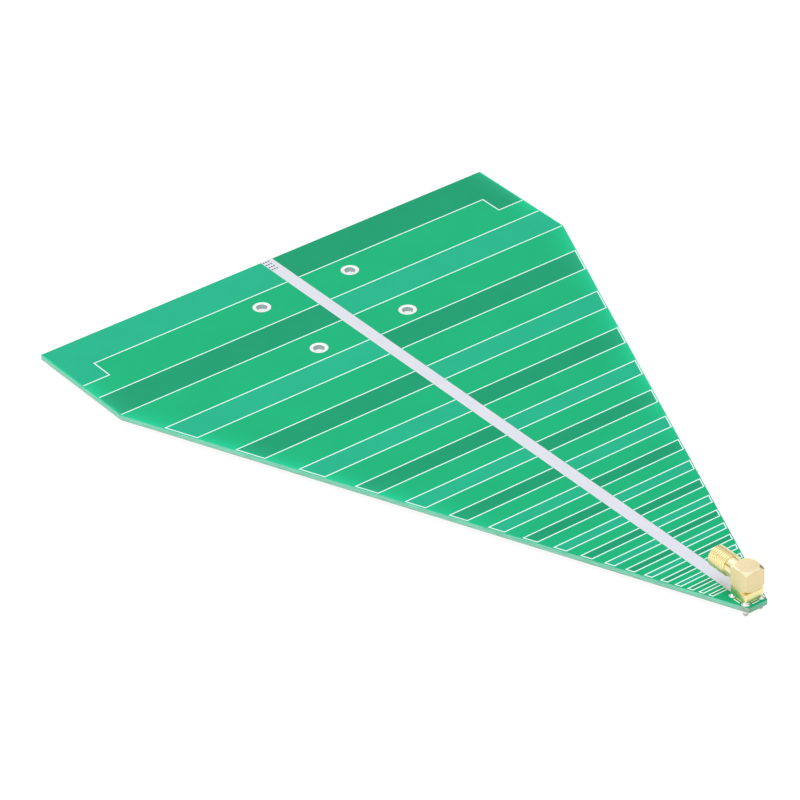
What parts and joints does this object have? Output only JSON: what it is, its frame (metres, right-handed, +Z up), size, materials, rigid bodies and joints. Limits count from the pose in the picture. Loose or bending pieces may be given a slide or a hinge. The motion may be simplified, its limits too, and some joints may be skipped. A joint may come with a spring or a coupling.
{
  "type": "log-periodic antenna",
  "caption": "Flat log-periodic antenna etched on a tapered green circuit board, with a right-angle coaxial jack at its tip.",
  "frame": {"origin": "centre of the four mounting holes, on the underside of the coated board", "axes": "+X along the boom towards the tip and the jack, +Y across the elements, +Z up out of the face that carries the jack"},
  "size_m": [0.222, 0.16, 0.0137],
  "materials": {
    "laminate": "cut glass-epoxy edge",
    "copper": "etched copper foil",
    "solder_mask": "glossy green solder mask",
    "legend": "printed white ink",
    "tin": "bright tin",
    "gold": "bright gold plating",
    "insulator": "white fluoroplastic",
    "solder": "wetted solder"
  },
  "bodies": {
    "root": {"board_laminate": "laminate", "top_copper": "copper", "bottom_copper": "copper", "top_solder_mask": "solder_mask", "bottom_solder_mask": "solder_mask", "top_legend": "legend", "top_boom_tin": "tin", "bottom_boom_tin": "tin", "mount_hole_plating_1": "tin", "mount_hole_plating_2": "tin", "mount_hole_plating_3": "tin", "mount_hole_plating_4": "tin", "boom_via_1": "tin", "boom_via_2": "tin", "boom_via_3": "tin", "boom_via_4": "tin", "boom_via_5": "tin", "boom_via_6": "tin", "boom_via_7": "tin", "boom_via_8": "tin", "boom_via_9": "tin", "boom_via_10": "tin", "boom_via_11": "tin", "boom_via_12": "tin", "leg_hole_plating_1": "tin", "leg_hole_plating_2": "tin", "leg_hole_plating_3": "tin", "leg_hole_plating_4": "tin", "pin_hole_plating": "tin", "jack_body": "gold", "jack_barrel": "gold", "barrel_insulator": "insulator", "centre_contact": "gold", "tail_pin": "gold", "tail_insulator": "insulator", "leg_solder_1": "solder", "leg_solder_2": "solder", "leg_solder_3": "solder", "leg_solder_4": "solder", "pin_solder": "solder"}
  },
  "joints": []
}
